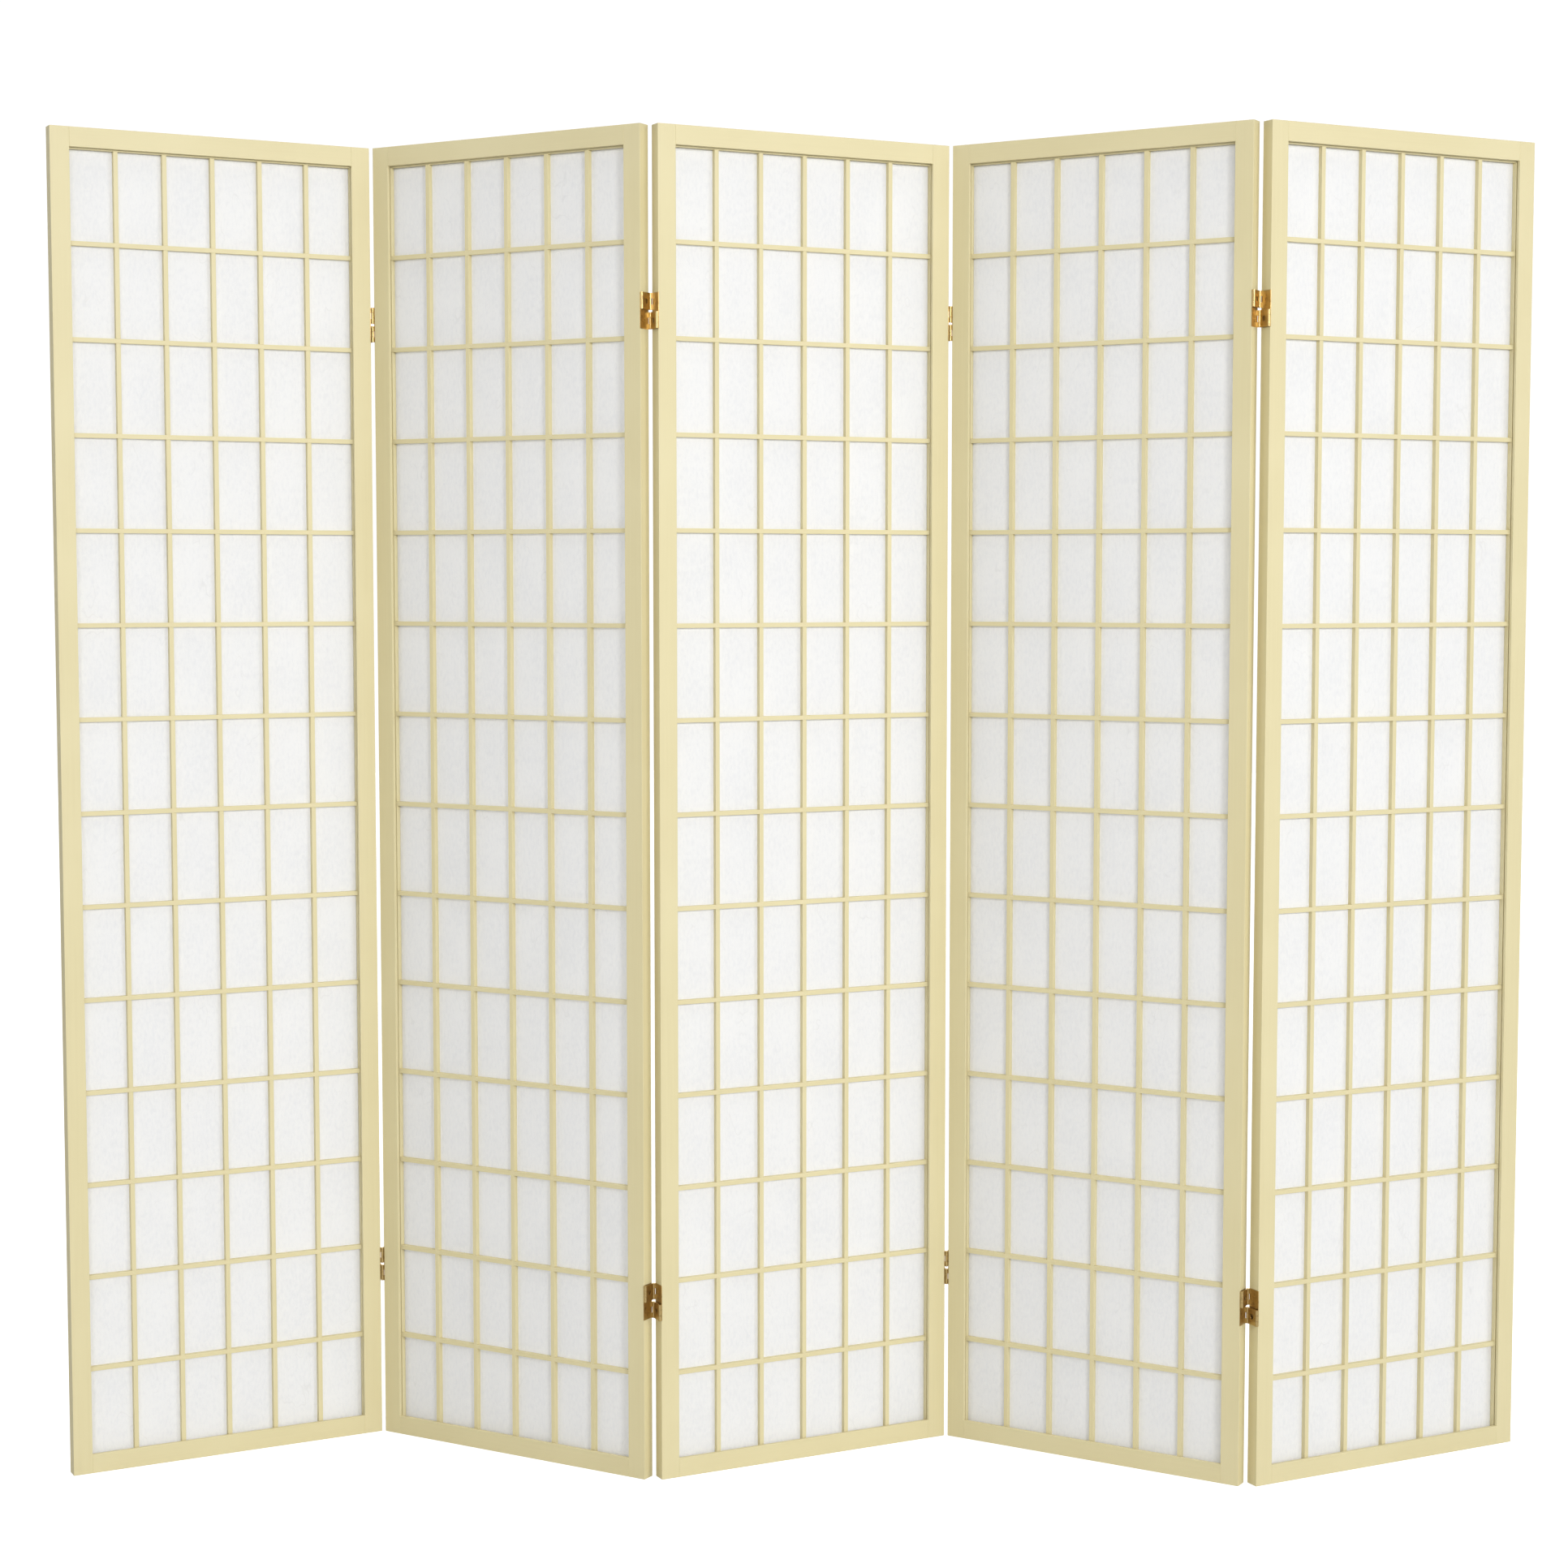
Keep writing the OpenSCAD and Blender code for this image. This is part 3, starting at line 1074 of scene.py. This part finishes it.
@dataclass(frozen=True)
class PaperSheet:
    """The sheet behind the lattice."""

    lattice: Lattice = Lattice()
    cockle: float = 0.25 * MM
    wave: float = 55 * MM
    clear: float = 0.03 * MM
    smooth_to: float = math.radians(40)

    def dress(self, recipes: Recipes, piece: Piece) -> None:
        """Makes a panel's paper.

        Args:
            recipes: The recipes.
            piece: Sets the finished sheet out.
        """
        box = piece.space.box("paper")
        mesh = recipes.sheet.cook({
            "Width": box.size.x, "Height": box.size.z, "Thickness": box.size.y - 2 * self.clear,
            "Columns": self.lattice.columns, "Rows": self.lattice.rows, "Bar Width": self.lattice.bar_w,
            "Cockle": self.cockle, "Wave": self.wave, "Seed": piece.space.number,
            "Material": piece.finishes.paper,
        })
        mesh.transform(Matrix.Translation((box.middle.x, box.high.y - self.clear, box.middle.z))
                       @ Matrix.Rotation(math.pi / 2, 4, "X"))
        mesh.shade_smooth()
        mesh.set_sharp_from_angle(angle=self.smooth_to)
        piece.set_out(mesh, "paper", Slot.PAPER)


class Outline:
    """Closed outlines in a plane, and the drilled plates made from them."""

    STEPS = 40

    @staticmethod
    def arc(middle: Sequence[float], radius: float, start: float, sweep: float,
            steps: int) -> list[Vector]:
        """Points along an arc.

        Args:
            middle: The arc's centre.
            radius: Its radius.
            start: Where it starts, in radians from X.
            sweep: How far it turns, less than 0 for clockwise.
            steps: How many chords stand for it.

        Returns:
            The points, both ends included.
        """
        x, y = middle
        angles = (start + sweep * i / steps for i in range(steps + 1))
        return [Vector((x + radius * math.cos(a), y + radius * math.sin(a))) for a in angles]

    @classmethod
    def circle(cls, middle: Sequence[float], radius: float) -> list[Vector]:
        """Points around a circle."""
        return cls.arc(middle, radius, 0.0, math.tau, cls.STEPS)[:-1]

    @classmethod
    def rounded(cls, low: Sequence[float], high: Sequence[float], radius: float) -> list[Vector]:
        """Points around a rectangle with round corners.

        Args:
            low: Its lowest corner.
            high: Its highest corner.
            radius: Radius of the corners.

        Returns:
            The points.
        """
        quarter = cls.STEPS // 8
        corners = ((high[0], high[1]), (low[0], high[1]), (low[0], low[1]), (high[0], low[1]))
        points = []
        for i, (x, y) in enumerate(corners):
            inner = (x - math.copysign(radius, x - low[0] - radius),
                     y - math.copysign(radius, y - low[1] - radius))
            points += cls.arc(inner, radius, i * math.pi / 2, math.pi / 2, quarter)
        return points

    @staticmethod
    def ring(bm: bmesh.types.BMesh, points: Iterable[Vector], z: float, place: Matrix) -> Ring:
        """Adds an outline's corners at one height of a place."""
        return [bm.verts.new(place @ Vector((*p, z))) for p in points]

    @staticmethod
    def wall(bm: bmesh.types.BMesh, low: Ring, high: Ring) -> None:
        """Adds the faces between two rings of as many points."""
        for i, j in zip(range(len(low)), (*range(1, len(low)), 0)):
            bm.faces.new((low[i], low[j], high[j], high[i]))

    @staticmethod
    def cap(bm: bmesh.types.BMesh, rings: Sequence[Ring]) -> None:
        """Fills the space between a ring and the holes in it."""
        edges = [bm.edges.new(pair) for ring in rings for pair in zip(ring, ring[1:] + ring[:1])]
        bmesh.ops.triangle_fill(bm, use_beauty=True, use_dissolve=False, edges=edges)

    @classmethod
    def plate(cls, bm: bmesh.types.BMesh, rings: list[tuple[list[Vector], list[Vector]]], low: float,
              high: float, place: Matrix) -> None:
        """Adds a closed plate between two heights.

        Args:
            bm: The mesh under way.
            rings: The outline at the low and at the high side, then the same for each hole.
            low: Height of the low side.
            high: Height of the high side.
            place: Carries the plate's own axes into the mesh.
        """
        loops = [[cls.ring(bm, points, z, place) for points, z in zip(pair, (low, high))]
                 for pair in rings]
        for side in zip(*loops):
            cls.cap(bm, side)
        for under, over in loops:
            cls.wall(bm, under, over)


@dataclass(frozen=True)
class TwoWayHinge:
    """Brass plates with knuckles on both edges. Drawn for a right-hand end, X = 0 on the end face."""

    height: float = 47 * MM
    split: float = 3 * MM
    axis_x: float = 2.5 * MM
    proud: float = 0.4 * MM
    knuckle_r: float = 2 * MM
    pin_r: float = 0.9 * MM
    bore_r: float = 0.95 * MM
    leaf_t: float = 0.9 * MM
    link_t: float = 1 * MM
    gap: float = 0.35 * MM
    screw_pitch: float = 25 * MM
    head_r: float = 2.4 * MM
    shank_r: float = 1.2 * MM
    screw_l: float = 12 * MM
    fit: float = 0.05 * MM
    access_r: float = 3.2 * MM
    cross_w: float = 0.6 * MM
    cross_l: float = 3.4 * MM
    cross_deep: float = 0.45 * MM
    ease: float = 0.1 * MM
    corner: float = 0.8 * MM
    leaf_corner: float = 0.05 * MM
    dome: float = 0.35 * MM
    dome_steps: int = 5
    point_l: float = 3 * MM
    tip_r: float = 0.3 * MM
    smooth_to: float = math.radians(20)
    seeds: int = 10

    @property
    def link_h(self) -> float:
        """Height of a link plate."""
        return (self.height - self.split) / 2

    @property
    def rise(self) -> float:
        """Height of a link's middle above or below the hinge's."""
        return (self.height - self.link_h) / 2

    @property
    def knuckle_h(self) -> float:
        """Height of one knuckle."""
        return self.link_h / 3 - self.gap

    def axes(self, thickness: float) -> tuple[float, float]:
        """Where the front and the back axis lie, for a panel's thickness."""
        return -self.proud, thickness + self.proud

    def barrel(self, bm: bmesh.types.BMesh, y: float, z: float, strap: list[Vector]) -> None:
        """Adds one knuckle and its strap.

        Args:
            bm: The mesh under way.
            y: Place of its axis.
            z: Its middle's height.
            strap: The strap's outline in place of part of the circle, from the axis.
        """
        half = self.knuckle_h / 2
        bore = Outline.circle((0, 0), self.bore_r)
        place = Matrix.Translation((self.axis_x, y, z))
        Outline.plate(bm, [(strap, strap), (bore, bore)], -half, half, place)

    def leaf_barrel(self, side: int) -> list[Vector]:
        """Outline of a leaf's knuckle, rolled from its plate on the side of the axis that faces the wood.

        Args:
            side: 1 for the front axis, -1 for the back axis.

        Returns:
            The outline, from the axis.
        """
        r, inner = self.knuckle_r, self.knuckle_r - self.leaf_t
        lead = math.asin(inner / r)
        reach = -self.axis_x - 0.5 * self.leaf_t
        ring = Outline.arc((0, 0), r, math.pi / 2, -lead - 1.5 * math.pi, Outline.STEPS)
        points = [*ring, Vector((reach, inner)), Vector((reach, r))]
        return points if side > 0 else [Vector((p.x, -p.y)) for p in reversed(points)]

    def link_barrel(self, side: int) -> list[Vector]:
        """Outline of a link's knuckle, with the strap that runs along the link from the axis.

        Args:
            side: 1 for the front axis, -1 for the back axis.

        Returns:
            The outline, from the axis.
        """
        half = self.link_t / 2
        lead = math.asin(half / self.knuckle_r)
        far = self.knuckle_r + 2 * self.gap
        sweep = math.tau - 2 * lead
        ring = Outline.arc((0, 0), self.knuckle_r, math.pi / 2 + lead, sweep, Outline.STEPS)
        points = [*ring, Vector((half, far)), Vector((-half, far))]
        return points if side > 0 else [Vector((p.x, -p.y)) for p in reversed(points)]

    def leaf(self, thickness: float) -> bpy.types.Mesh:
        """Makes a leaf, with the front knuckles in its upper half and the back ones in its lower half.

        Args:
            thickness: The panel's thickness.

        Returns:
            The mesh, with Z = 0 at its middle.
        """
        bm = bmesh.new()
        half = self.height / 2
        rim = Outline.rounded((0.0, -half), (thickness, half), self.leaf_corner)
        rings = [(rim, rim)]
        for z in (-0.5, 0.5):
            spot = (thickness / 2, z * self.screw_pitch)
            rings.append(tuple(Outline.circle(spot, r + self.fit) for r in (self.shank_r, self.head_r)))
        Outline.plate(bm, rings, -self.leaf_t, 0.0, self.face_on(0.0))
        pitch = self.link_h / 3
        for side, y in zip((1, -1), self.axes(thickness)):
            for step in (-1, 1):
                self.barrel(bm, y, side * self.rise + step * pitch, self.leaf_barrel(side))
        return self.smoothed(bm, "leaf")

    def link(self, thickness: float) -> bpy.types.Mesh:
        """Makes a link plate, with a knuckle on the front axis and one on the back axis.

        Args:
            thickness: The panel's thickness.

        Returns:
            The mesh, with Z = 0 at its middle.
        """
        bm = bmesh.new()
        inset = self.knuckle_r + self.gap - self.proud
        rim = Outline.rounded((inset, -self.link_h / 2), (thickness - inset, self.link_h / 2), self.corner)
        hole = Outline.circle((thickness / 2, 0.0), self.access_r)
        Outline.plate(bm, [(rim, rim), (hole, hole)], -self.link_t / 2, self.link_t / 2,
                      self.face_on(self.axis_x))
        for side, y in zip((1, -1), self.axes(thickness)):
            self.barrel(bm, y, 0.0, self.link_barrel(side))
        return self.smoothed(bm, "link")

    def pin(self) -> bpy.types.Mesh:
        """Makes a pin with domed ends.

        Returns:
            The mesh, with Z = 0 at its middle.
        """
        bm = bmesh.new()
        half, levels = self.link_h / 2, []
        for end in (-1, 1):
            for i in range(self.dome_steps):
                a = math.pi / 2 * (i + 1) / self.dome_steps
                height = half - self.dome + self.dome * math.cos(a)
                levels.append((self.pin_r * math.sin(a), end * height))
        levels.sort(key=lambda level: level[1])
        rings = [Outline.ring(bm, Outline.circle((0, 0), r), z, Matrix()) for r, z in levels]
        for low, high in zip(rings, rings[1:]):
            Outline.wall(bm, low, high)
        bm.faces.new(reversed(rings[0]))
        bm.faces.new(rings[-1])
        return self.smoothed(bm, "pin", 0.0)

    def cross(self) -> list[Vector]:
        """Outline of a cross recess.

        Returns:
            Its corners.
        """
        near, far = self.cross_w / 2, self.cross_l / 2
        arm = [Vector((far, -near)), Vector((far, near)), Vector((near, near))]
        return [p for i in range(4) for p in (Matrix.Rotation(i * math.pi / 2, 2) @ v for v in arm)]

    def screw(self) -> bpy.types.Mesh:
        """Makes a countersunk screw with a cross recess.

        Returns:
            The mesh, with the head at X = 0 and the point towards -X.
        """
        bm = bmesh.new()
        place, cross = self.face_on(0.0), self.cross()
        levels = (
            (self.head_r - self.ease, 0.0),
            (self.head_r, -self.ease),
            (self.shank_r, -self.leaf_t),
            (self.shank_r, self.point_l - self.screw_l),
            (self.tip_r, -self.screw_l),
        )
        rings = [Outline.ring(bm, Outline.circle((0, 0), r), z, place) for r, z in levels]
        sunk = [Outline.ring(bm, cross, z, place) for z in (0.0, -self.cross_deep)]
        Outline.cap(bm, (rings[0], sunk[0]))
        for high, low in (*zip(rings, rings[1:]), sunk):
            Outline.wall(bm, low, high)
        bm.faces.new(sunk[1])
        bm.faces.new(rings[-1])
        return self.smoothed(bm, "screw", 0.0)

    @staticmethod
    def face_on(x: float) -> Matrix:
        """Carries a plate's own X to Y, its Y to Z and its Z to X, at a distance x from the end face."""
        turn = Matrix(((0, 0, 1, 0), (1, 0, 0, 0), (0, 1, 0, 0), (0, 0, 0, 1)))
        return Matrix.Translation((x, 0, 0)) @ turn

    def smoothed(self, bm: bmesh.types.BMesh, name: str, ease: float | None = None) -> bpy.types.Mesh:
        """Turns a closed mesh's faces outwards, eases its rims and shades its round faces smooth.

        Args:
            bm: The mesh, which is freed.
            name: The new mesh's name.
            ease: Width of the eased rims, or None for the hinge's own.

        Returns:
            The mesh.
        """
        bmesh.ops.recalc_face_normals(bm, faces=bm.faces)
        width = self.ease if ease is None else ease
        if width:
            rims = [e for e in bm.edges if e.is_convex and e.calc_face_angle(0.0) > EASED_FROM]
            bmesh.ops.bevel(bm, geom=rims, offset=width, segments=STROKES, profile=0.5, affect="EDGES",
                            clamp_overlap=True)
        mesh = bpy.data.meshes.new(name)
        bm.to_mesh(mesh)
        bm.free()
        mesh.shade_smooth()
        mesh.set_sharp_from_angle(angle=self.smooth_to)
        return mesh

    def dress(self, recipes: Recipes, piece: Piece) -> None:
        """Makes a panel's leaves, links, pins and screws where its nodes have them.

        Args:
            recipes: The recipes.
            piece: Sets the finished pieces out.
        """
        panel = Box(piece.space.box("left_stile").low, piece.space.box("right_stile").high)
        thickness = panel.size.y
        shapes = {
            "hinge_leaves": (self.leaf(thickness), 0.0),
            "hinge_links": (self.link(thickness), 0.0),
            "hinge_pins": (self.pin(), 0.0),
            "hinge_screws": (self.screw(), math.tau),
        }
        for number, (part, (shape, spin)) in enumerate(shapes.items()):
            fitting = stood(part, shape)
            start = self.places(piece.space, part, panel)
            mesh = recipes.fittings.cook({
                "Fitting": fitting, "Spin": spin,
                "Seed": self.seeds * piece.space.number + number,
                "Material": piece.finishes.brass,
            }, start)
            bpy.data.objects.remove(fitting)
            piece.set_out(mesh, part, Slot.BRASS)

    def places(self, space: PanelSpace, part: str, panel: Box) -> bpy.types.Mesh:
        """A point for each solid of a hinge node, with the turn of the end it is on.

        Args:
            space: The panel.
            part: The node's name without its panel.
            panel: The panel's box.

        Returns:
            A mesh of points.
        """
        spots, turns = [], []
        for solid in space.solids(part):
            end = End.RIGHT if solid.middle.x > panel.middle.x else End.LEFT
            x, y = (panel.high.x, panel.low.y) if end is End.RIGHT else (panel.low.x, panel.high.y)
            if part == "hinge_pins":
                x, y = solid.middle.x, solid.middle.y
            if part == "hinge_screws":
                y = solid.middle.y
            spots.append((x, y, solid.middle.z))
            turns.append(end.value)
        mesh = bpy.data.meshes.new(part + "_places")
        mesh.from_pydata(spots, [], [])
        mesh.attributes.new("turn", "FLOAT", "POINT").data.foreach_set("value", turns)
        return mesh


@dataclass(frozen=True)
class Lamp:
    """A far-off soft light. Its angles are in degrees, and its turn is from straight in front."""

    name: str
    turn: float
    rise: float
    power: float
    spread: float

    def hang(self) -> None:
        """Puts the light in the scene."""
        data = bpy.data.lights.new(self.name, "SUN")
        data.energy, data.angle = math.pi * self.power, math.radians(self.spread)
        lamp = stood(self.name, data)
        lamp.rotation_euler = (math.radians(90 - self.rise), 0.0, math.radians(self.turn))


@dataclass(frozen=True)
class Studio:
    """Pale floor, white surroundings, a key light on the right, soft fill lights and the camera."""

    eye: tuple[float, float, float] = (0.0842, -3.8066, 1.1985)
    heading: float = math.radians(1.66)
    dip: float = math.radians(4.145)
    lens: float = 65.1
    sensor: float = 36.0
    white: Colour = (1.0, 1.0, 1.0, 1.0)
    floor_r: float = 14.0
    floor_pale: Colour = (0.62, 0.62, 0.62, 1.0)
    floor_matt: float = 0.9
    floor_drop: float = 0.1 * MM
    floor_glow: float = 0.70
    key_turn: float = math.radians(23)
    key_rise: float = math.radians(17)
    key_far: float = 5.5
    key_size: tuple[float, float] = (1.2, 0.28)
    key_power: float = 102.0
    key_aim: tuple[float, float, float] = (-0.35, 0.0, 1.05)
    sky_seen: float = 1.05
    sky_light: float = 0.22
    fills: tuple[Lamp, ...] = (
        Lamp("front_fill", 2.0, 12.0, 0.18, 15.0),
        Lamp("right_fill", 60.0, 10.0, 0.212, 20.0),
        Lamp("left_fill", -70.0, 8.0, 0.145, 30.0),
        Lamp("top_fill", 0.0, 80.0, 0.25, 60.0),
        Lamp("back_fill", 188.0, 12.0, 0.64, 60.0),
    )

    def camera(self) -> None:
        """Sets the camera up."""
        data = bpy.data.cameras.new("camera")
        data.lens, data.sensor_width = self.lens, self.sensor
        camera = stood("camera", data)
        camera.location = self.eye
        camera.rotation_euler = (math.pi / 2 - self.dip, 0.0, self.heading)
        bpy.context.scene.camera = camera

    def sky(self) -> None:
        """Makes the surroundings white to look at and much dimmer as a light."""
        world = bpy.data.worlds.new("studio")
        world.use_nodes = True
        world.node_tree.nodes.clear()
        b = Bench(world.node_tree)
        seen = b.add("ShaderNodeLightPath")
        strength = self.sky_light + (self.sky_seen - self.sky_light) * seen
        light = b.add("ShaderNodeBackground", None, {"Color": self.white, "Strength": strength})
        b.add("ShaderNodeOutputWorld", None, {"Surface": light})
        bpy.context.scene.world = world

    def key(self) -> None:
        """Stands the key light in front, to the right and a little above the middle of the screen."""
        data = bpy.data.lights.new("key", "AREA")
        data.shape, data.energy = "ELLIPSE", self.key_power
        data.size, data.size_y = self.key_size
        key = stood("key", data)
        level = self.key_far * math.cos(self.key_rise)
        key.location = (level * math.sin(self.key_turn), -level * math.cos(self.key_turn),
                        cad_box[1].z / 2 + self.key_far * math.sin(self.key_rise))
        key.rotation_euler = (key.location - Vector(self.key_aim)).to_track_quat("Z", "Y").to_euler()

    def floor(self) -> None:
        """Lays a pale round floor under the screen, brighter to look at than as a light."""
        s = Surface("pale_floor")
        paint = {"Base_Color": self.floor_pale, "Roughness": self.floor_matt}
        plain = s.shader(**paint)
        bright = s.shader(**paint, Emission_Color=self.white, Emission_Strength=self.floor_glow)
        seen = s.bench.add("ShaderNodeLightPath")
        s.done(s.bench.add("ShaderNodeMixShader", None, {0: seen, 1: plain, 2: bright}))
        bm = bmesh.new()
        level = cad_box[0].z - self.floor_drop
        bm.faces.new(Outline.ring(bm, Outline.circle((0, 0), self.floor_r), level, Matrix()))
        mesh = bpy.data.meshes.new("floor")
        bm.to_mesh(mesh)
        bm.free()
        mesh.materials.append(s.material)
        floor = stood("floor", mesh)

    def build(self) -> None:
        """Sets the whole studio up."""
        bpy.context.scene.view_settings.view_transform = "Standard"
        self.camera()
        self.sky()
        self.key()
        for fill in self.fills:
            fill.hang()
        self.floor()


def main() -> None:
    """Builds the screen panel by panel, then the studio."""
    logging.basicConfig(level=logging.INFO, format="%(name)s %(message)s")
    finishes, recipes = Finishes.mixed(), Recipes()
    joined, lattice, paper, hinge = JoinedFrame(), Lattice(), PaperSheet(), TwoWayHinge()
    for number in range(1, len(frame["bodies"]) + 1):
        piece = Piece(PanelSpace.measured(number), finishes)
        joined.dress(piece)
        lattice.dress(recipes, piece)
        paper.dress(recipes, piece)
        hinge.dress(recipes, piece)
    Studio().build()


if __name__ == "__main__":
    main()
